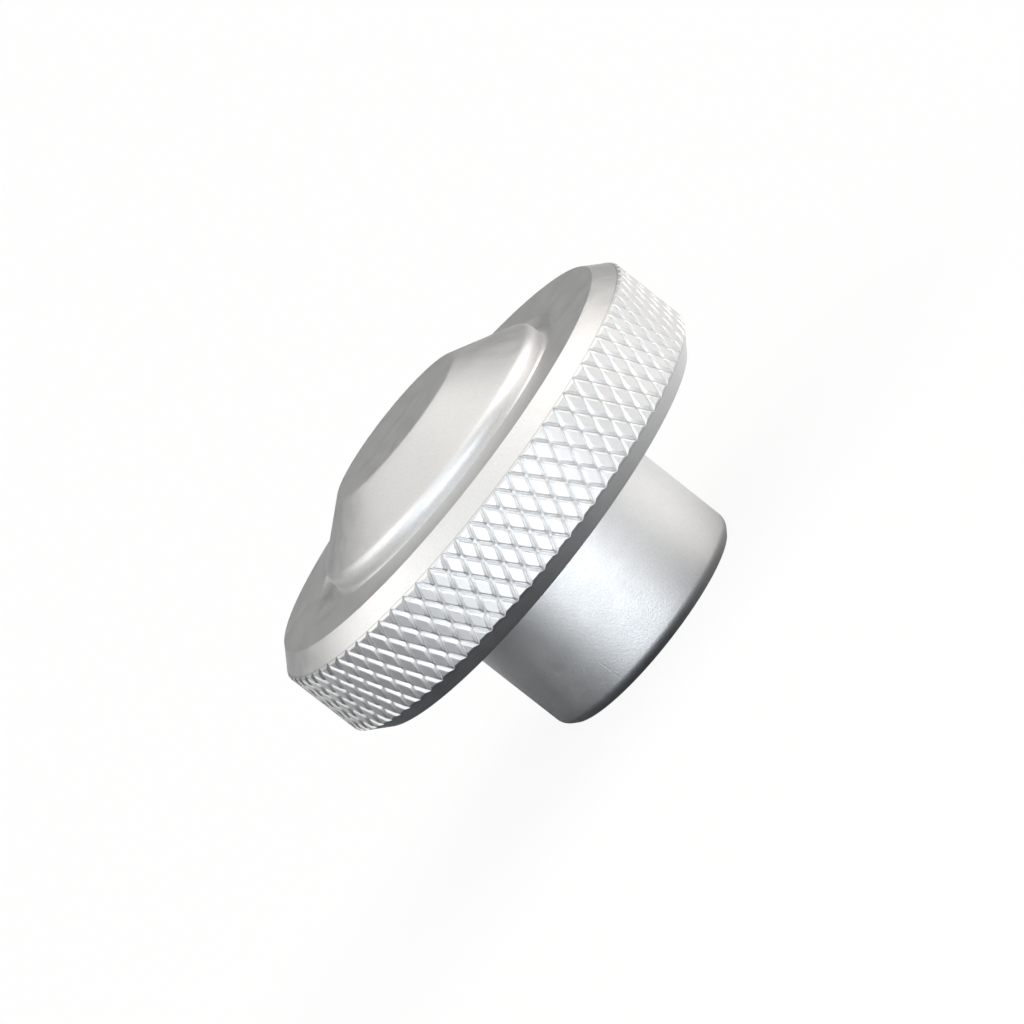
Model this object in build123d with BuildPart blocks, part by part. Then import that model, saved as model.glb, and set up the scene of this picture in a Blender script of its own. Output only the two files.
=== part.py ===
from build123d import *
from math import cos, pi, radians, sin, tan
import os

# A one-piece knob turned from aluminium bar. Its disc has a diamond-knurled rim between two chamfers,
# a raised conical boss stands in a face groove on top, and a tapped hub comes out below.
# Lengths are in millimetres. The origin is the centre of the hub's end face, with +Z up to the boss.

# Disc
rim_diameter = 36.0
rim_chamfer = 1.45  # at 45 degrees, from the top of the knurl

# Diamond knurl around the disc
knurl_width = 6.0
knurl_pitch = 1.2  # between grooves of one hand, square to them
knurl_depth = 0.18
helix_angle = 30.0  # between a groove and the knob's axis
groove_angle = 90.0  # between the two flanks of a groove
knurl_lip = 0.04  # the formed knurl stands this much proud of the chamfers

# Top face, from the rim inwards: land, face groove and boss
land_width = 4.1
face_groove_width = 1.35  # at the land
face_groove_depth = 0.6
face_groove_flank = 45.0  # of its outer side, from the knob's axis
boss_wall = 0.85
boss_cone_angle = 30.0
boss_top_diameter = 12.5
shoulder_radius = 0.9
crown_break = 0.22  # along the cone and the top

# Hub and its tapped hole
hub_diameter = 18.0
hub_length = 10.4
hub_end_chamfer = 0.6  # at 45 degrees
hub_edge_radius = 0.9  # where that chamfer meets the hub's side
tap_core_diameter = 6.8
tap_mouth_chamfer = 0.8
tap_depth = 14.0
drill_point_angle = 118.0

# Lattice of the knurl: grooves of both hands cross at nodes, and each diamond lies between four nodes.
# Whole diamonds go around the rim, and whole rows fill the width, so both edges fall on a row of nodes.
rim_radius = rim_diameter / 2
diamond_count = round(pi * rim_diameter * cos(radians(helix_angle)) / knurl_pitch)
half_angle = 180 / diamond_count
row_count = round(knurl_width * tan(radians(helix_angle)) / (rim_radius * radians(half_angle)))
row_step = knurl_width / row_count
node_radius = rim_radius - knurl_depth
node_x = node_radius * cos(radians(half_angle))
node_y = node_radius * sin(radians(half_angle))

# The four flanks of a diamond would meet in a peak, and the land cuts that peak off
peak_x = node_radius + knurl_pitch / 2 / tan(radians(groove_angle / 2))
land_half_width = node_y * (peak_x - rim_radius) / (peak_x - node_x)
land_half_height = row_step * (peak_x - rim_radius) / (peak_x - node_radius)
edge_run = rim_radius - node_x
edge_half_width = land_half_width * (1 - edge_run / land_half_height)

# Heights and radii of the turned section
land_radius = rim_radius - rim_chamfer
face_groove_radius = land_radius - land_width
boss_radius = face_groove_radius - face_groove_width
boss_top_radius = boss_top_diameter / 2
hub_radius = hub_diameter / 2
core_radius = tap_core_diameter / 2
seat_radius = node_x - knurl_lip / 2
chamfer_height = rim_chamfer - edge_run - knurl_lip
knurl_base_z = hub_length + chamfer_height
knurl_top_z = knurl_base_z + knurl_width
land_z = knurl_top_z + chamfer_height
face_groove_z = land_z - face_groove_depth
face_groove_floor_radius = face_groove_radius - face_groove_depth * tan(radians(face_groove_flank))
shoulder_z = land_z + boss_wall
boss_top_z = shoulder_z + (boss_radius - boss_top_radius) * tan(radians(boss_cone_angle))
drill_tip_z = tap_depth + core_radius / tan(radians(drill_point_angle / 2))


def facet(*corners):
    return Face(Wire.make_polygon(corners))


def ring_row(faces, row):
    height = knurl_base_z + row * row_step
    around = PolarLocations(0, diamond_count, start_angle=row * half_angle)
    return [Pos(0, 0, height) * place * face for place in around for face in faces]


# One whole diamond, facing +X at height zero: a flat land and four flanks down to its nodes
nodes = [(node_x, node_y, 0), (node_radius, 0, row_step), (node_x, -node_y, 0), (node_radius, 0, -row_step)]
land = [
    (rim_radius, land_half_width, 0),
    (rim_radius, 0, land_half_height),
    (rim_radius, -land_half_width, 0),
    (rim_radius, 0, -land_half_height),
]
diamond = [facet(*land)]
for side in range(len(land)):
    after = (side + 1) % len(land)
    diamond.append(facet(nodes[side], nodes[after], land[after], land[side]))

knurl_faces = []
for row in range(1, row_count):
    knurl_faces += ring_row(diamond, row)

# The outer rows are half diamonds, which the 45-degree chamfer cuts off, and a flat ring end closes each
for row, inward in ((0, 1), (row_count, -1)):
    right = (rim_radius, edge_half_width, inward * edge_run)
    left = (rim_radius, -edge_half_width, inward * edge_run)
    tip = (rim_radius, 0, inward * land_half_height)
    tip_node = (node_radius, 0, inward * row_step)
    half_diamond = [
        facet(right, tip, left),
        facet(nodes[0], tip_node, tip, right),
        facet(tip_node, nodes[2], left, tip),
        facet(nodes[2], nodes[0], right, left),
    ]
    knurl_faces += ring_row(half_diamond, row)
    edge_nodes = PolarLocations(node_radius, diamond_count, start_angle=(row + 1) * half_angle)
    ring_end = facet(*[place.position for place in edge_nodes])
    knurl_faces.append(Pos(0, 0, knurl_base_z + row * row_step) * ring_end)
knurl = Solid(Shell(knurl_faces))

with BuildPart() as knob:
    with BuildSketch(Plane.XZ) as outside:
        with BuildLine():
            Polyline(
                (0, 0),
                (hub_radius - hub_end_chamfer, 0),
                (hub_radius, hub_end_chamfer),
                (hub_radius, hub_length),
                (land_radius, hub_length),
                (seat_radius, knurl_base_z + knurl_lip / 2),
                (seat_radius, knurl_top_z - knurl_lip / 2),
                (land_radius, land_z),
                (boss_radius, land_z),
                (boss_radius, shoulder_z),
                (boss_top_radius, boss_top_z),
                (0, boss_top_z),
                close=True,
            )
        make_face()
        fillet(outside.vertices().sort_by_distance((hub_radius, hub_end_chamfer))[0], hub_edge_radius)
        fillet(outside.vertices().sort_by_distance((boss_radius, shoulder_z))[0], shoulder_radius)
        chamfer(outside.vertices().sort_by_distance((boss_top_radius, boss_top_z))[0], crown_break)
    revolve(axis=Axis.Z)
    add(knurl)

    # The face groove runs round the foot of the boss
    with BuildSketch(Plane.XZ):
        with BuildLine():
            Polyline(
                (boss_radius, land_z),
                (boss_radius, face_groove_z),
                (face_groove_floor_radius, face_groove_z),
                (face_groove_radius, land_z),
                close=True,
            )
        make_face()
    revolve(axis=Axis.Z, mode=Mode.SUBTRACT)

    # The blind hole has the tapping drill's wall and point, and a chamfer at its mouth
    with BuildSketch(Plane.XZ):
        with BuildLine():
            Polyline(
                (0, 0),
                (core_radius + tap_mouth_chamfer, 0),
                (core_radius, tap_mouth_chamfer),
                (core_radius, tap_depth),
                (0, drill_tip_z),
                close=True,
            )
        make_face()
    revolve(axis=Axis.Z, mode=Mode.SUBTRACT)

knob.part.label = "knob"
os.makedirs("parts", exist_ok=True)
export_step(knob.part, "parts/knob.step")
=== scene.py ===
import math

import bmesh
import bpy
from mathutils import Matrix, Vector


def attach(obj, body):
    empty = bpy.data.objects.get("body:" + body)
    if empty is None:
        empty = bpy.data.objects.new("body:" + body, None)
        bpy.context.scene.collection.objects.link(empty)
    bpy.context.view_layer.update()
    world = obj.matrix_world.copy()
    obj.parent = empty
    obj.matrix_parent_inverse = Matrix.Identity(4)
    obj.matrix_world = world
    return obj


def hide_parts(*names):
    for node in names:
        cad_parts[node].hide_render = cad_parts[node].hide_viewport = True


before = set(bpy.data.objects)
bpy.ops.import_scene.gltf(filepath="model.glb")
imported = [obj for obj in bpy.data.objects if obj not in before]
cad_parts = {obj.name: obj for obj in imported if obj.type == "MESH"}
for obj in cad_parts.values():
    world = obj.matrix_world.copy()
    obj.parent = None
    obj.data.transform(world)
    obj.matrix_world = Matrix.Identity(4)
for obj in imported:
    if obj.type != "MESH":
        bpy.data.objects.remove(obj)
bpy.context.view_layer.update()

mm = 0.001  # metres in a millimetre
closeEnough = 1e-6  # mm, between radii that are the same

scene = bpy.context.scene
scene.view_settings.view_transform = "Standard"

# Turned body: radii and heights in mm, hub end at zero, boss up
body = {
    "rimRadius": 18.0,
    "rimChamfer": 1.45,
    "landWidth": 4.1,
    "grooveWidth": 1.35,
    "grooveDepth": 0.6,
    "grooveFlank": 45.0,  # of its outer side, from the axis
    "grooveRound": 0.45,
    "grooveLipRound": 0.3,
    "bossWall": 0.85,
    "coneAngle": 30.0,
    "bossTopRadius": 6.25,
    "shoulderRound": 0.9,
    "crownRound": 0.8,
    "hubRadius": 9.0,
    "hubLength": 10.4,
    "hubEndChamfer": 0.6,
    "hubEndRound": 0.24,
    "hubEdgeRound": 0.9,
    "edgeRound": 0.12,  # what blasting leaves on a turned edge
    "columnsPerDiamond": 3,
    "longestStep": 0.5,
    "arcStep": 8.0,  # degrees
    "sharpAngle": 32.0,  # a steeper edge is shaded sharp
}

# Diamond knurl, formed between the two chamfers
knurl = {
    "width": 6.0,
    "pitch": 1.2,
    "depth": 0.18,
    "lip": 0.04,
    "seam": 0.008,  # what is left of the ring's end beside a chamfer
    "helixAngle": 30.0,
    "grooveAngle": 90.0,
    "roundShare": 0.30,  # of a flank, rounded over into the land
    "roundSteps": 3,
    "landRoundShare": 0.12,  # of a land, from its corners in
    "landFlatShare": 0.24,
    "cornerShare": 0.12,  # of a diamond's side, cut off at each corner
    "ringWall": 1.2,
    "weld": 0.002,  # points of two diamonds that are closer become one
}

# Tapped hole in the hub
tap = {
    "coreRadius": 3.4,
    "mouthChamfer": 0.8,
    "depth": 14.0,
    "pointAngle": 118.0,
    "threadPitch": 1.25,
    "threadDepth": 0.55,
    "runout": 1.2,
    "rowsPerPitch": 8,
}

# Sizes that follow from the settings above
rimRadius = body["rimRadius"]
helix = math.radians(knurl["helixAngle"])
diamonds = round(2 * math.pi * rimRadius * math.cos(helix) / knurl["pitch"])
halfAngle = math.pi / diamonds
rows = round(knurl["width"] * math.tan(helix) / (rimRadius * halfAngle))
rowStep = knurl["width"] / rows
nodeRadius = rimRadius - knurl["depth"]
nodeX = nodeRadius * math.cos(halfAngle)
nodeY = nodeRadius * math.sin(halfAngle)
peakX = nodeRadius + knurl["pitch"] / 2 / math.tan(math.radians(knurl["grooveAngle"] / 2))
edgeRun = rimRadius - nodeX
landRadius = rimRadius - body["rimChamfer"]
grooveRadius = landRadius - body["landWidth"]
grooveFloorRadius = grooveRadius - body["grooveDepth"] * math.tan(math.radians(body["grooveFlank"]))
bossRadius = grooveRadius - body["grooveWidth"]
hubEndRadius = body["hubRadius"] - body["hubEndChamfer"]
mouthRadius = tap["coreRadius"] + tap["mouthChamfer"]
chamferHeight = body["rimChamfer"] - edgeRun - knurl["lip"]
knurlBase = body["hubLength"] + chamferHeight
knurlTop = knurlBase + knurl["width"]
landHeight = knurlTop + chamferHeight
grooveFloor = landHeight - body["grooveDepth"]
shoulderHeight = landHeight + body["bossWall"]
coneRise = (bossRadius - body["bossTopRadius"]) * math.tan(math.radians(body["coneAngle"]))
bossTop = shoulderHeight + coneRise
tapTip = tap["depth"] + tap["coreRadius"] / math.tan(math.radians(tap["pointAngle"] / 2))
print("diamonds", diamonds, "rows", rows, "height", round(bossTop, 3))


def roundCorner(before, corner, after, radius):
    # arc of the given radius between the two straight runs of a section's corner
    if radius == 0:
        return [corner]
    toBefore = (before - corner).normalized()
    toAfter = (after - corner).normalized()
    turn = math.pi - toBefore.angle(toAfter)
    reach = radius * math.tan(turn / 2)
    inward = (toBefore + toAfter).normalized()
    centre = corner + inward * (radius / math.cos(turn / 2))
    first = corner + toBefore * reach - centre
    steps = max(2, math.ceil(math.degrees(turn) / body["arcStep"]))
    side = 1 if first.cross(corner + toAfter * reach - centre) > 0 else -1
    return [centre + Matrix.Rotation(side * turn * k / steps, 2) @ first for k in range(steps + 1)]


def onTapWall(point):
    return abs(point.x - tap["coreRadius"]) < closeEnough


def turnedSection():
    # corners of the half section from the drill point out and up: radius, height and rounding
    edge = body["edgeRound"]
    hubRadius = body["hubRadius"]
    # the chamfers come out until they are flush with the cut ends of the diamonds
    chamferRadius = landRadius + knurl["lip"] - knurl["seam"]
    seat = knurl["seam"] / 2
    seatRadius = nodeX - seat
    corners = [
        (0, tapTip, 0),
        (tap["coreRadius"], tap["depth"], 0),
        (tap["coreRadius"], tap["mouthChamfer"], 0),
        (mouthRadius, 0, edge),
        (hubEndRadius, 0, body["hubEndRound"]),
        (hubRadius, body["hubEndChamfer"], body["hubEdgeRound"]),
        (hubRadius, body["hubLength"], edge),
        (chamferRadius, body["hubLength"], edge),
        (seatRadius, knurlBase + seat, 0),
        (seatRadius, knurlTop - seat, 0),
        (chamferRadius, landHeight, edge),
        (grooveRadius, landHeight, body["grooveLipRound"]),
        (grooveFloorRadius, grooveFloor, body["grooveRound"]),
        (bossRadius, grooveFloor, body["grooveRound"]),
        (bossRadius, shoulderHeight, body["shoulderRound"]),
        (body["bossTopRadius"], bossTop, body["crownRound"]),
        (0, bossTop, 0),
    ]
    places = [Vector(corner[:2]) for corner in corners]
    rounded = [places[0]]
    for before, corner, after, spec in zip(places, places[1:], places[2:], corners[1:]):
        rounded += roundCorner(before, corner, after, spec[2])
    rounded.append(places[-1])
    section = [rounded[0]]
    for start, end in zip(rounded, rounded[1:]):
        longest = body["longestStep"]
        if onTapWall(start) and onTapWall(end):
            longest = tap["threadPitch"] / tap["rowsPerPitch"]
        steps = max(1, math.ceil((end - start).length / longest))
        section += [start.lerp(end, k / steps) for k in range(1, steps + 1)]
    return section


def threadCut(height, angle):
    # how far the thread is cut into the tapped wall at a height, running out at both ends
    fromMouth = (height - tap["mouthChamfer"]) / tap["runout"]
    fromEnd = (tap["depth"] - height) / tap["runout"]
    fade = max(0, min(1, fromMouth, fromEnd))
    turn = height / tap["threadPitch"] - angle / (2 * math.pi)
    return tap["threadDepth"] * fade * (0.5 + 0.5 * math.cos(2 * math.pi * turn))


def meshFrom(bm, name):
    mesh = bpy.data.meshes.new(name)
    bm.to_mesh(mesh)
    bm.free()
    return mesh


def turnedBlank():
    # the section is spun round the axis, and the thread is cut into the tapped wall on the way
    columns = diamonds * body["columnsPerDiamond"]
    bm = bmesh.new()
    rings = []
    for point in turnedSection():
        if point.x < closeEnough:
            rings.append([bm.verts.new((0, 0, point.y * mm))] * columns)
            continue
        ring = []
        for column in range(columns):
            angle = 2 * math.pi * column / columns
            radius = point.x + (threadCut(point.y, angle) if onTapWall(point) else 0)
            x = radius * math.cos(angle) * mm
            y = radius * math.sin(angle) * mm
            ring.append(bm.verts.new((x, y, point.y * mm)))
        rings.append(ring)
    for inner, outer in zip(rings, rings[1:]):
        for column in range(columns):
            after = (column + 1) % columns
            quad = (inner[column], inner[after], outer[after], outer[column])
            bm.faces.new(dict.fromkeys(quad))
    bmesh.ops.recalc_face_normals(bm, faces=bm.faces)
    return meshFrom(bm, "turnedBlank")


def addLoop(bm, points):
    return [bm.verts.new(point * mm) for point in points]


def bridge(bm, lower, upper):
    for side in range(len(lower)):
        after = (side + 1) % len(lower)
        bm.faces.new((lower[side], lower[after], upper[after], upper[side]))


def cutCorners(corners, closed):
    # two points in place of a corner, but the ends of an open line stay
    share = knurl["cornerShare"]
    last = len(corners) - 1
    points = []
    for k, corner in enumerate(corners):
        if closed or k > 0:
            points.append(corner.lerp(corners[k - 1], share))
        if not closed and k in (0, last):
            points.append(corner)
        if closed or k < last:
            points.append(corner.lerp(corners[(k + 1) % len(corners)], share))
    return points


def addDiamond(bm, nodes, land, closed):
    # flanks rise from the nodes and round over into a flat land, and each node has a small floor
    floors = addLoop(bm, nodes if closed else nodes[1:-1])
    nodes = cutCorners(nodes, closed)
    land = cutCorners(land, closed)
    middle = sum(land, Vector()) / len(land)
    roundFoot = [corner.lerp(node, knurl["roundShare"]) for corner, node in zip(land, nodes)]
    roundEnd = [corner.lerp(middle, knurl["landRoundShare"]) for corner in land]
    flatEdge = [corner.lerp(middle, knurl["landFlatShare"]) for corner in land]
    loops = [nodes, roundFoot]
    for step in range(1, knurl["roundSteps"]):
        share = step / knurl["roundSteps"]
        loops.append([foot.lerp(corner, share).lerp(corner.lerp(end, share), share)
                      for foot, corner, end in zip(roundFoot, land, roundEnd)])
    loops += [roundEnd, flatEdge]
    made = [addLoop(bm, loop) for loop in loops]
    for lower, upper in zip(made, made[1:]):
        bridge(bm, lower, upper)
    bm.faces.new(made[-1])
    firstCut = 0 if closed else 2
    for k, corner in enumerate(floors):
        before = made[0][firstCut + 2 * k]
        after = made[0][firstCut + 2 * k + 1]
        bm.faces.new((after, before, corner))
    return made[0]


def knurlCell(kind):
    # a whole diamond, or the half that a chamfer leaves at an edge, facing +X at height zero
    landY = nodeY * (peakX - rimRadius) / (peakX - nodeX)
    landZ = rowStep * (peakX - rimRadius) / (peakX - nodeRadius)
    right = Vector((nodeX, nodeY, 0))
    left = Vector((nodeX, -nodeY, 0))
    bm = bmesh.new()
    if kind == "whole":
        nodes = [right, Vector((nodeRadius, 0, rowStep)), left, Vector((nodeRadius, 0, -rowStep))]
        land = [
            Vector((rimRadius, landY, 0)),
            Vector((rimRadius, 0, landZ)),
            Vector((rimRadius, -landY, 0)),
            Vector((rimRadius, 0, -landZ)),
        ]
        addDiamond(bm, nodes, land, True)
    else:
        way = 1 if kind == "lower" else -1
        edgeY = landY * (1 - edgeRun / landZ)
        nodes = [right, Vector((nodeRadius, 0, way * rowStep)), left][::way]
        land = [
            Vector((rimRadius, edgeY, way * edgeRun)),
            Vector((rimRadius, 0, way * landZ)),
            Vector((rimRadius, -edgeY, way * edgeRun)),
        ][::way]
        base = addDiamond(bm, nodes, land, False)
        # the ring's end and its inner wall, which close it
        inward = 1 - knurl["ringWall"] / nodeRadius
        innerFirst, innerLast = addLoop(bm, [nodes[0] * inward, nodes[2] * inward])
        across = bm.verts.new(Vector((nodeRadius * inward, 0, way * knurl["width"])) * mm)
        bm.faces.new((base[0], base[-1], innerLast, innerFirst))
        bm.faces.new((innerFirst, innerLast, across))
    cell = bpy.data.objects.new("cell-" + kind, meshFrom(bm, "cell-" + kind))
    scene.collection.objects.link(cell)
    return cell


def newNode(tree, kind, inputs=None, **settings):
    # inputs are plain values or sockets to link from
    node = tree.nodes.new(kind)
    for name, value in settings.items():
        setattr(node, name, value)
    for key, value in (inputs or {}).items():
        if isinstance(value, bpy.types.NodeSocket):
            tree.links.new(value, node.inputs[key])
        else:
            node.inputs[key].default_value = value
    return node


def doMath(tree, operation, *values):
    node = newNode(tree, "ShaderNodeMath", dict(enumerate(values)), operation=operation)
    return node.outputs[0]


def vectorMath(tree, operation, *values, output=0):
    node = newNode(tree, "ShaderNodeVectorMath", dict(enumerate(values)), operation=operation)
    return node.outputs[output]


def fromAxis(tree, place):
    # distance of a place from the knob's axis
    flat = vectorMath(tree, "MULTIPLY", place, (1, 1, 0))
    return vectorMath(tree, "LENGTH", flat, output="Value")


def heightOf(tree, place):
    return newNode(tree, "ShaderNodeSeparateXYZ", {0: place}).outputs[2]


def knurlRows(tree, given, cellName, firstRow, rowCount):
    # a ring of cells for each row, each row turned by half a diamond
    index = newNode(tree, "GeometryNodeInputIndex").outputs[0]
    count = doMath(tree, "MULTIPLY", given["Diamonds"], rowCount)
    ring = doMath(tree, "FLOOR", doMath(tree, "DIVIDE", index, given["Diamonds"]))
    row = doMath(tree, "ADD", ring, firstRow)
    halfSteps = doMath(tree, "MULTIPLY_ADD", index, 2, row)
    angle = doMath(tree, "MULTIPLY", doMath(tree, "DIVIDE", halfSteps, given["Diamonds"]), math.pi)
    height = doMath(tree, "MULTIPLY_ADD", row, given["Row step"], given["Base height"])
    place = newNode(tree, "ShaderNodeCombineXYZ", {"Z": height}).outputs[0]
    euler = newNode(tree, "ShaderNodeCombineXYZ", {"Z": angle}).outputs[0]
    points = newNode(tree, "GeometryNodePoints", {"Count": count, "Position": place}).outputs[0]
    rotation = newNode(tree, "FunctionNodeEulerToRotation", {0: euler}).outputs[0]
    cell = newNode(tree, "GeometryNodeObjectInfo", {"Object": given[cellName]}).outputs["Geometry"]
    return newNode(tree, "GeometryNodeInstanceOnPoints",
                   {"Points": points, "Instance": cell, "Rotation": rotation}).outputs[0]


def knurlTree():
    tree = bpy.data.node_groups.new("diamondKnurl", "GeometryNodeTree")
    sockets = {
        "Blank": "NodeSocketGeometry",
        "Diamonds": "NodeSocketInt",
        "Rows": "NodeSocketInt",
        "Row step": "NodeSocketFloat",
        "Base height": "NodeSocketFloat",
        "Whole cell": "NodeSocketObject",
        "Lower cell": "NodeSocketObject",
        "Upper cell": "NodeSocketObject",
        "Weld distance": "NodeSocketFloat",
        "Sharp angle": "NodeSocketFloat",
        "Tap radius": "NodeSocketFloat",
        "Tap height": "NodeSocketFloat",
        "Skin": "NodeSocketMaterial",
        "Tapped wall": "NodeSocketMaterial",
    }
    for name, kind in sockets.items():
        tree.interface.new_socket(name, in_out="INPUT", socket_type=kind)
    tree.interface.new_socket("Knob", in_out="OUTPUT", socket_type="NodeSocketGeometry")
    given = newNode(tree, "NodeGroupInput").outputs

    # first row and number of rows of each kind of cell
    rowsOf = {
        "Whole cell": (1, doMath(tree, "SUBTRACT", given["Rows"], 1)),
        "Lower cell": (0, 1),
        "Upper cell": (given["Rows"], 1),
    }
    ring = newNode(tree, "GeometryNodeJoinGeometry")
    for cellName, (firstRow, rowCount) in rowsOf.items():
        tree.links.new(knurlRows(tree, given, cellName, firstRow, rowCount), ring.inputs[0])
    solidRing = newNode(tree, "GeometryNodeRealizeInstances", {0: ring.outputs[0]}).outputs[0]
    solidRing = newNode(tree, "GeometryNodeMergeByDistance",
                        {"Geometry": solidRing, "Distance": given["Weld distance"]}).outputs[0]

    union = newNode(tree, "GeometryNodeMeshBoolean", operation="UNION", solver="MANIFOLD")
    tree.links.new(given["Blank"], union.inputs["Mesh 2"])
    tree.links.new(solidRing, union.inputs["Mesh 2"])
    shape = newNode(tree, "GeometryNodeSetShadeSmooth",
                    {0: union.outputs[0], "Shade Smooth": True}).outputs[0]
    edgeAngle = newNode(tree, "GeometryNodeInputMeshEdgeAngle").outputs["Unsigned Angle"]
    sharp = doMath(tree, "GREATER_THAN", edgeAngle, given["Sharp angle"])
    shape = newNode(tree, "GeometryNodeSetShadeSmooth",
                    {0: shape, "Selection": sharp, "Shade Smooth": False}, domain="EDGE").outputs[0]

    place = newNode(tree, "GeometryNodeInputPosition").outputs[0]
    inside = doMath(tree, "LESS_THAN", fromAxis(tree, place), given["Tap radius"])
    below = doMath(tree, "LESS_THAN", heightOf(tree, place), given["Tap height"])
    tapped = doMath(tree, "MULTIPLY", inside, below)
    shape = newNode(tree, "GeometryNodeRealizeInstances", {0: shape}).outputs[0]
    shape = newNode(tree, "GeometryNodeSetMaterial", {0: shape, "Material": given["Skin"]}).outputs[0]
    shape = newNode(tree, "GeometryNodeSetMaterial",
                    {0: shape, "Selection": tapped, "Material": given["Tapped wall"]}).outputs[0]
    newNode(tree, "NodeGroupOutput", {0: shape})
    return tree


def makeKnob(skin, tappedWall):
    cells = {kind: knurlCell(kind) for kind in ("whole", "lower", "upper")}
    knob = bpy.data.objects.new("knurled-knob", turnedBlank())
    scene.collection.objects.link(knob)
    values = {
        "Diamonds": diamonds,
        "Rows": rows,
        "Row step": rowStep * mm,
        "Base height": knurlBase * mm,
        "Whole cell": cells["whole"],
        "Lower cell": cells["lower"],
        "Upper cell": cells["upper"],
        "Weld distance": knurl["weld"] * mm,
        "Sharp angle": math.radians(body["sharpAngle"]),
        "Tap radius": mouthRadius * mm,
        "Tap height": tapTip * mm,
        "Skin": skin,
        "Tapped wall": tappedWall,
    }
    tree = knurlTree()
    modifier = knob.modifiers.new("diamondKnurl", "NODES")
    modifier.node_group = tree
    for item in tree.interface.items_tree:
        if item.item_type == "SOCKET" and item.name in values:
            modifier[item.identifier] = values[item.name]
    bpy.context.view_layer.update()
    evaluated = knob.evaluated_get(bpy.context.evaluated_depsgraph_get())
    finished = bpy.data.meshes.new_from_object(evaluated)
    knob.modifiers.clear()
    knob.data = finished
    knob.data.name = "knurledKnob"
    for cell in cells.values():
        bpy.data.objects.remove(cell)
    triangles = sum(len(face.vertices) - 2 for face in finished.polygons)
    print("knob mesh", len(finished.vertices), "points,", triangles, "triangles")
    return knob


def newMaterial(name):
    material = bpy.data.materials.new(name)
    material.use_nodes = True
    material.node_tree.nodes.clear()
    return material, material.node_tree


def shaderGroup(name, inputs, outputs):
    tree = bpy.data.node_groups.new(name, "ShaderNodeTree")
    for label, kind in inputs.items():
        tree.interface.new_socket(label, in_out="INPUT", socket_type=kind)
    for label in outputs:
        tree.interface.new_socket(label, in_out="OUTPUT", socket_type="NodeSocketFloat")
    return tree, newNode(tree, "NodeGroupInput").outputs


def ramp(tree, value, low, high, atLow=0.0, atHigh=1.0):
    node = newNode(tree, "ShaderNodeMapRange", interpolation_type="SMOOTHSTEP", inputs={
        "Value": value, "From Min": low, "From Max": high, "To Min": atLow, "To Max": atHigh})
    return node.outputs["Result"]


def mixColours(tree, share, first, second):
    node = newNode(tree, "ShaderNodeMix", {0: share, 6: first, 7: second}, data_type="RGBA")
    return node.outputs[2]


def noise(tree, place, scale, detail, roughness):
    return newNode(tree, "ShaderNodeTexNoise", {
        "Vector": place, "Scale": scale, "Detail": detail, "Roughness": roughness}).outputs[0]


# Grain that the blasted skin and the tapped wall share
blast = {
    "grainDetail": 2.0,
    "grainRoughness": 0.6,
    "mottleDetail": 4.0,
    "mottleRoughness": 0.65,
    "mottleReach": (0.3, 0.7),  # none and full
    "speckReach": (0.03, 0.10),  # full and none, from a cell's middle
    "speckBar": 0.9,  # share of the cells without a speck
}


def blastGrain():
    # fine grain of a blasted skin, its slow mottle and a few pale specks
    tree, given = shaderGroup("blastGrain", {
        "Place": "NodeSocketVector",
        "Grain scale": "NodeSocketFloat",
        "Mottle scale": "NodeSocketFloat",
        "Speck scale": "NodeSocketFloat",
    }, ("Grain", "Mottle", "Speck"))
    place = given["Place"]
    grain = noise(tree, place, given["Grain scale"], blast["grainDetail"], blast["grainRoughness"])
    mottle = noise(tree, place, given["Mottle scale"], blast["mottleDetail"], blast["mottleRoughness"])
    cells = newNode(tree, "ShaderNodeTexVoronoi", {
        "Vector": place, "Scale": given["Speck scale"]}).outputs
    chance = newNode(tree, "ShaderNodeSeparateColor", {0: cells["Color"]}).outputs[0]
    dot = ramp(tree, cells["Distance"], *blast["speckReach"], 1.0, 0.0)
    speck = doMath(tree, "MULTIPLY", dot, doMath(tree, "GREATER_THAN", chance, blast["speckBar"]))
    newNode(tree, "NodeGroupOutput", {
        "Grain": grain, "Mottle": ramp(tree, mottle, *blast["mottleReach"]), "Speck": speck})
    return tree


def edgeBand():
    # one along a turned edge, falling to zero at a distance from it
    tree, given = shaderGroup("edgeBand", {
        "Place": "NodeSocketVector",
        "Edge radius": "NodeSocketFloat",
        "Edge height": "NodeSocketFloat",
        "Width": "NodeSocketFloat",
    }, ("Band",))
    aside = doMath(tree, "SUBTRACT", fromAxis(tree, given["Place"]), given["Edge radius"])
    above = doMath(tree, "SUBTRACT", heightOf(tree, given["Place"]), given["Edge height"])
    square = doMath(tree, "MULTIPLY_ADD", aside, aside, doMath(tree, "MULTIPLY", above, above))
    away = doMath(tree, "SQRT", square)
    newNode(tree, "NodeGroupOutput", {"Band": ramp(tree, away, 0.0, given["Width"], 1.0, 0.0)})
    return tree


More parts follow.
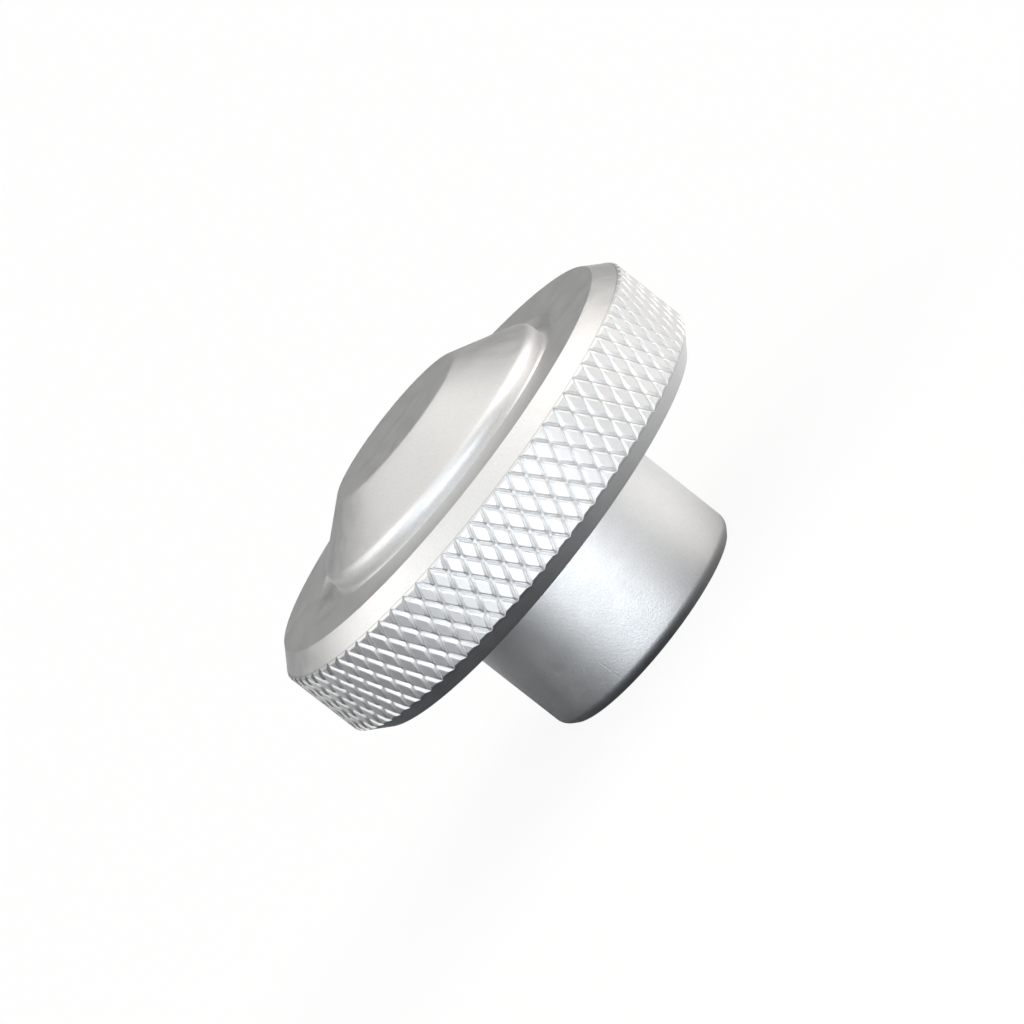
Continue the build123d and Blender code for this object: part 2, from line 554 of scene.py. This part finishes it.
def scratchLine():
    # one along a straight scratch between two points
    tree, given = shaderGroup("scratchLine", {
        "Place": "NodeSocketVector",
        "Start": "NodeSocketVector",
        "End": "NodeSocketVector",
        "Width": "NodeSocketFloat",
    }, ("Scratch",))
    run = vectorMath(tree, "SUBTRACT", given["End"], given["Start"])
    reach = vectorMath(tree, "SUBTRACT", given["Place"], given["Start"])
    along = doMath(tree, "DIVIDE", vectorMath(tree, "DOT_PRODUCT", reach, run, output="Value"),
                   vectorMath(tree, "DOT_PRODUCT", run, run, output="Value"))
    held = newNode(tree, "ShaderNodeClamp", {"Value": along}).outputs[0]
    nearest = newNode(tree, "ShaderNodeVectorMath", {0: run, "Scale": held}, operation="SCALE").outputs[0]
    away = vectorMath(tree, "DISTANCE", reach, nearest, output="Value")
    newNode(tree, "NodeGroupOutput", {"Scratch": ramp(tree, away, 0.0, given["Width"], 1.0, 0.0)})
    return tree


def metalSurface(tree, colour, roughness, height, depth):
    # bare metal with a bump of a depth in mm
    bump = newNode(tree, "ShaderNodeBump", {"Height": height, "Distance": depth * mm})
    shader = newNode(tree, "ShaderNodeBsdfPrincipled", {
        "Base Color": colour, "Metallic": 1.0, "Roughness": roughness, "Normal": bump.outputs[0]})
    newNode(tree, "ShaderNodeOutputMaterial", {"Surface": shader.outputs[0]})


# Bead-blasted, clear-anodised aluminium; lengths in mm
satin = {
    "colour": (0.85, 0.85, 0.85, 1),
    "mottleColour": (0.832, 0.833, 0.833, 1),
    "grainColour": (0.785, 0.786, 0.786, 1),
    "grainReach": (0.34, 0.58),  # full and none, in the grain
    "grainShare": 0.7,
    "knurlLandShadeColour": (0.73, 0.73, 0.725, 1),  # painted shade on the knurl's lands, which holds down the light they catch
    "knurlReach": (0.05, 0.015),  # none and full, below the rim
    # colour of the painted shade at the foot of the knurl's grooves
    "grooveShadeColour": (0.6, 0.6, 0.6, 1),
    "grooveShade": (0.0, 0.06),  # painted shade in the knurl's grooves, full and none, from the groove's foot
    "wornColour": (0.93, 0.93, 0.925, 1),
    "roughness": 0.50,
    "roughnessRange": 0.05,
    "wornRoughness": 0.42,
    "grainSize": 0.15,
    "mottleSize": 1.4,
    "speckSize": 1.1,
    "speckShare": 0.8,
    "grainHeight": 0.010,
    "wearWidth": 0.16,
    "wearReach": (0.3, 0.6),  # least and most wear, in the grain
    "wearShares": (0.3, 0.4),
    "wornEdges": [
        (landRadius, landHeight),
        (landRadius, body["hubLength"]),
        (body["hubRadius"], body["hubEndChamfer"]),
        (hubEndRadius, 0),
        (mouthRadius, 0),
    ],
    "scratchWidth": 0.07,
    "scratchShare": 0.6,
    "scratchDip": 0.5,
    "scratches": [
        ((-4.016, -8.054, 2.9), (-4.016, -8.054, 1.0)),  # on the hub, as in the photograph
        ((8.05, 4.03, 6.9), (7.90, 4.31, 5.2)),
        ((-6.1, 13.2, landHeight), (-7.4, 13.3, landHeight)),
        ((1.8, 3.1, bossTop), (3.3, 2.4, bossTop)),
    ],
}


def satinSkin(grain, edge, scratch):
    material, tree = newMaterial("satinSkin")
    place = newNode(tree, "ShaderNodeTexCoord").outputs["Object"]
    skin = newNode(tree, "ShaderNodeGroup", node_tree=grain, inputs={
        "Place": place,
        "Grain scale": 1 / (satin["grainSize"] * mm),
        "Mottle scale": 1 / (satin["mottleSize"] * mm),
        "Speck scale": 1 / (satin["speckSize"] * mm),
    }).outputs

    worn = 0.0
    for radius, height in satin["wornEdges"]:
        band = newNode(tree, "ShaderNodeGroup", node_tree=edge, inputs={
            "Place": place,
            "Edge radius": radius * mm,
            "Edge height": height * mm,
            "Width": satin["wearWidth"] * mm,
        }).outputs[0]
        worn = doMath(tree, "MAXIMUM", worn, band)
    wear = ramp(tree, skin["Grain"], *satin["wearReach"], *satin["wearShares"])
    worn = doMath(tree, "MULTIPLY", worn, wear)

    scratched = 0.0
    for start, end in satin["scratches"]:
        line = newNode(tree, "ShaderNodeGroup", node_tree=scratch, inputs={
            "Place": place,
            "Start": Vector(start) * mm,
            "End": Vector(end) * mm,
            "Width": satin["scratchWidth"] * mm,
        }).outputs[0]
        scratched = doMath(tree, "MAXIMUM", scratched, line)
    scratchMark = doMath(tree, "MULTIPLY", scratched, satin["scratchShare"])
    speckMark = doMath(tree, "MULTIPLY", skin["Speck"], satin["speckShare"])
    bright = doMath(tree, "MAXIMUM", worn, doMath(tree, "MAXIMUM", scratchMark, speckMark))

    radius = fromAxis(tree, place)
    # painted shade: the colour darkens near the foot of each knurl groove, where shade falls
    fromNode = doMath(tree, "ABSOLUTE", doMath(tree, "SUBTRACT", radius, nodeRadius * mm))
    full, none = [reach * mm for reach in satin["grooveShade"]]
    grooveShadeMask = ramp(tree, fromNode, full, none, 1.0, 0.0)
    # painted shade: the knurl's lands are coloured darker, to hold down the light they catch
    none, full = [(rimRadius - reach) * mm for reach in satin["knurlReach"]]
    landShadeMask = ramp(tree, radius, none, full)
    dull = ramp(tree, skin["Grain"], *satin["grainReach"], satin["grainShare"], 0.0)

    colour = mixColours(tree, skin["Mottle"], satin["colour"], satin["mottleColour"])
    colour = mixColours(tree, dull, colour, satin["grainColour"])
    colour = mixColours(tree, landShadeMask, colour, satin["knurlLandShadeColour"])
    colour = mixColours(tree, grooveShadeMask, colour, satin["grooveShadeColour"])
    colour = mixColours(tree, bright, colour, satin["wornColour"])
    spread = satin["roughnessRange"]
    roughness = doMath(tree, "MULTIPLY_ADD", skin["Mottle"], spread, satin["roughness"] - spread / 2)
    roughness = newNode(tree, "ShaderNodeMix",
                        {0: bright, 2: roughness, 3: satin["wornRoughness"]}).outputs[0]
    dip = doMath(tree, "MULTIPLY", scratched, satin["scratchDip"])
    height = doMath(tree, "SUBTRACT", skin["Grain"], dip)
    metalSurface(tree, colour, roughness, height, satin["grainHeight"])
    return material


# Bright wall of the tapped hole, with fine lines round it from the tap; lengths in mm
thread = {
    "colour": (0.78, 0.78, 0.79, 1),
    "stainColour": (0.62, 0.62, 0.62, 1),
    "roughness": 0.30,
    "roughnessRange": 0.16,
    "lineSize": 0.09,
    "lineStretch": (0.12, 0.12, 1.0),  # draws the grain out round the wall
    "stainSize": 1.6,
    "lineHeight": 0.004,
}


def cutThread(grain):
    material, tree = newMaterial("cutThread")
    place = newNode(tree, "ShaderNodeTexCoord").outputs["Object"]
    drawn = newNode(tree, "ShaderNodeMapping", {"Vector": place, "Scale": thread["lineStretch"]}).outputs[0]
    wall = newNode(tree, "ShaderNodeGroup", node_tree=grain, inputs={
        "Place": drawn,
        "Grain scale": 1 / (thread["lineSize"] * mm),
        "Mottle scale": 1 / (thread["stainSize"] * mm),
        "Speck scale": 1 / (thread["stainSize"] * mm),
    }).outputs
    colour = mixColours(tree, wall["Mottle"], thread["colour"], thread["stainColour"])
    roughness = doMath(tree, "MULTIPLY_ADD", wall["Grain"], thread["roughnessRange"], thread["roughness"])
    metalSurface(tree, colour, roughness, wall["Grain"], thread["lineHeight"])
    return material


grainNodes = blastGrain()
skin = satinSkin(grainNodes, edgeBand(), scratchLine())
tappedWall = cutThread(grainNodes)
print("skin and tapped wall made")
knob = makeKnob(skin, tappedWall)

# Pale floor, and a dark card of painted shade with a soft edge on it, which only the metal sees; lengths in
# mm
stage = {
    "discSides": 96,
    "floorReach": (6000, 6000),
    "floorPlace": (0, 0, -0.03),
    "floorColour": (0.94, 0.94, 0.94, 1),
    "floorWhite": 0.9,  # share of plain white that the camera and the metal see
    # the card is painted shade: a dark sheet that the metal mirrors as shaded floor under and left of the
    # knob
    "cardReach": (125, 62),
    "cardPlace": (-84, -8, -0.02),
    "cardSoftness": 0.35,  # share of its reach that fades out
    "shadeCardColour": (0.02, 0.022, 0.025, 1),
    "airColour": (0.034, 0.040, 0.047, 1),
}


def stageDisc(name, reach, place, material):
    bm = bmesh.new()
    bmesh.ops.create_circle(bm, cap_ends=True, radius=1, segments=stage["discSides"])
    made = bpy.data.objects.new(name, meshFrom(bm, name))
    made.location = [value * mm for value in place]
    made.scale = (reach[0] * mm, reach[1] * mm, 1)
    made.data.materials.append(material)
    scene.collection.objects.link(made)
    return made


def floorPaint():
    material, tree = newMaterial("floorPaint")
    seen = newNode(tree, "ShaderNodeLightPath").outputs
    direct = doMath(tree, "MAXIMUM", seen["Is Camera Ray"], seen["Is Glossy Ray"])
    direct = doMath(tree, "MAXIMUM", direct, seen["Is Transmission Ray"])
    share = doMath(tree, "MULTIPLY", direct, stage["floorWhite"])
    paint = newNode(tree, "ShaderNodeBsdfDiffuse", {"Color": stage["floorColour"]}).outputs[0]
    white = newNode(tree, "ShaderNodeEmission", {"Strength": 1.0}).outputs[0]
    mixed = newNode(tree, "ShaderNodeMixShader", {0: share, 1: paint, 2: white}).outputs[0]
    newNode(tree, "ShaderNodeOutputMaterial", {"Surface": mixed})
    return material


# painted shade: a dark sheet, clear towards its soft edge, that only the metal mirrors
def shadeCardPaint():
    material, tree = newMaterial("leftShadeCardPaint")
    place = newNode(tree, "ShaderNodeTexCoord").outputs["Object"]
    out = vectorMath(tree, "LENGTH", place, output="Value")
    cover = ramp(tree, out, 1 - stage["cardSoftness"], 1.0, 1.0, 0.0)
    clear = newNode(tree, "ShaderNodeBsdfTransparent").outputs[0]
    dark = newNode(tree, "ShaderNodeBsdfDiffuse", {"Color": stage["shadeCardColour"]}).outputs[0]
    mixed = newNode(tree, "ShaderNodeMixShader", {0: cover, 1: clear, 2: dark}).outputs[0]
    newNode(tree, "ShaderNodeOutputMaterial", {"Surface": mixed})
    return material


stageDisc("floor", stage["floorReach"], stage["floorPlace"], floorPaint())
card = stageDisc("leftCard", stage["cardReach"], stage["cardPlace"], shadeCardPaint())
card.visible_camera = False
card.visible_diffuse = False
card.visible_shadow = False
print("floor and card laid")

# Soft lamps: azimuth from the camera to the right, elevation, strength, spread in degrees and colour
lamps = {
    "frontKey": (-22, 24, 1.1, 75, (0.945, 1.0, 1.055)),
    "lowFront": (20, 5, 0.3, 45, (0.98, 1.0, 1.02)),
    "rightFill": (94, 20, 1.45, 50, (1.045, 1.0, 0.95)),
    "topSoft": (0, 90, 1.05, 90, (1.03, 1.0, 0.955)),
    "backLeft": (-93, 37, 0.92, 55, (1.02, 1.0, 0.965)),
    "backRight": (98, 54, 0.48, 60, (1.03, 1.0, 0.955)),
}

# Low strip lamp in front, too low for the flat top to mirror it to the back; lengths in mm
strip = {
    "azimuth": -3,
    "distance": 150,
    "middle": 8,
    "width": 215,
    "height": 14,
    "power": 0.094,
    "colour": (0.945, 1.0, 1.055),
}


def hangLamp(name, light, azimuth, elevation):
    # turns a lamp to shine on the knob, and gives back the way from the knob to it
    turn = math.radians(azimuth)
    rise = math.radians(elevation)
    level = math.cos(rise)
    toward = Vector((level * math.sin(turn), -level * math.cos(turn), math.sin(rise)))
    lamp = bpy.data.objects.new(name, light)
    lamp.rotation_mode = "QUATERNION"
    lamp.rotation_quaternion = toward.to_track_quat("Z", "Y")
    scene.collection.objects.link(lamp)
    return lamp, toward


def addLamps():
    for name, (azimuth, elevation, strength, spread, colour) in lamps.items():
        light = bpy.data.lights.new(name, "SUN")
        light.energy = strength
        light.angle = math.radians(spread)
        light.color = colour
        hangLamp(name, light, azimuth, elevation)


def addStrip():
    light = bpy.data.lights.new("lowStrip", "AREA")
    light.shape = "RECTANGLE"
    light.size = strip["width"] * mm
    light.size_y = strip["height"] * mm
    light.energy = strip["power"]
    light.color = strip["colour"]
    lamp, toward = hangLamp("lowStrip", light, strip["azimuth"], 0)
    lamp.location = (toward * strip["distance"] + Vector((0, 0, strip["middle"]))) * mm
    lamp.visible_camera = False


def studioWorld():
    world = bpy.data.worlds.new("studio")
    world.use_nodes = True
    tree = world.node_tree
    tree.nodes.clear()
    air = newNode(tree, "ShaderNodeBackground", {"Color": stage["airColour"], "Strength": 1.0}).outputs[0]
    newNode(tree, "ShaderNodeOutputWorld", {"Surface": air})
    scene.world = world


addLamps()
addStrip()
studioWorld()
print("lit by", len(lamps), "soft lamps and a strip")

# Camera of the photograph, from where the rim's middle stands in its frame
view = {
    "imageSize": 1024,
    "rimPixels": 263.26,
    "middlePixels": (484.35, 495.60),
    "distance": 431.7,  # mm
    "elevation": 10.60,
    "roll": 51.82,
    "sensor": 36.0,
    "clip": (0.01, 50),  # metres
}


def makeCamera():
    elevation = math.radians(view["elevation"])
    roll = math.radians(view["roll"])
    back = Vector((0, -math.cos(elevation), math.sin(elevation)))
    level = Vector((1, 0, 0))
    upright = Vector((0, math.sin(elevation), math.cos(elevation)))
    right = math.cos(roll) * level - math.sin(roll) * upright
    up = math.sin(roll) * level + math.cos(roll) * upright
    scale = rimRadius / view["rimPixels"]
    aside = (view["middlePixels"][0] - view["imageSize"] / 2) * scale
    above = (view["imageSize"] / 2 - view["middlePixels"][1]) * scale
    middle = Vector((0, 0, (knurlBase + knurlTop) / 2))
    place = middle + back * view["distance"] - right * aside - up * above
    data = bpy.data.cameras.new("photoView")
    data.sensor_width = view["sensor"]
    data.lens = view["distance"] / scale * view["sensor"] / view["imageSize"]
    data.clip_start, data.clip_end = view["clip"]
    camera = bpy.data.objects.new("photoView", data)
    turn = Matrix((right, up, back)).transposed()
    camera.matrix_world = Matrix.Translation(place * mm) @ turn.to_4x4()
    scene.collection.objects.link(camera)
    scene.camera = camera
    print("camera placed with a lens of", round(data.lens, 1), "mm")


makeCamera()

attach(knob, "root")
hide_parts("knob")
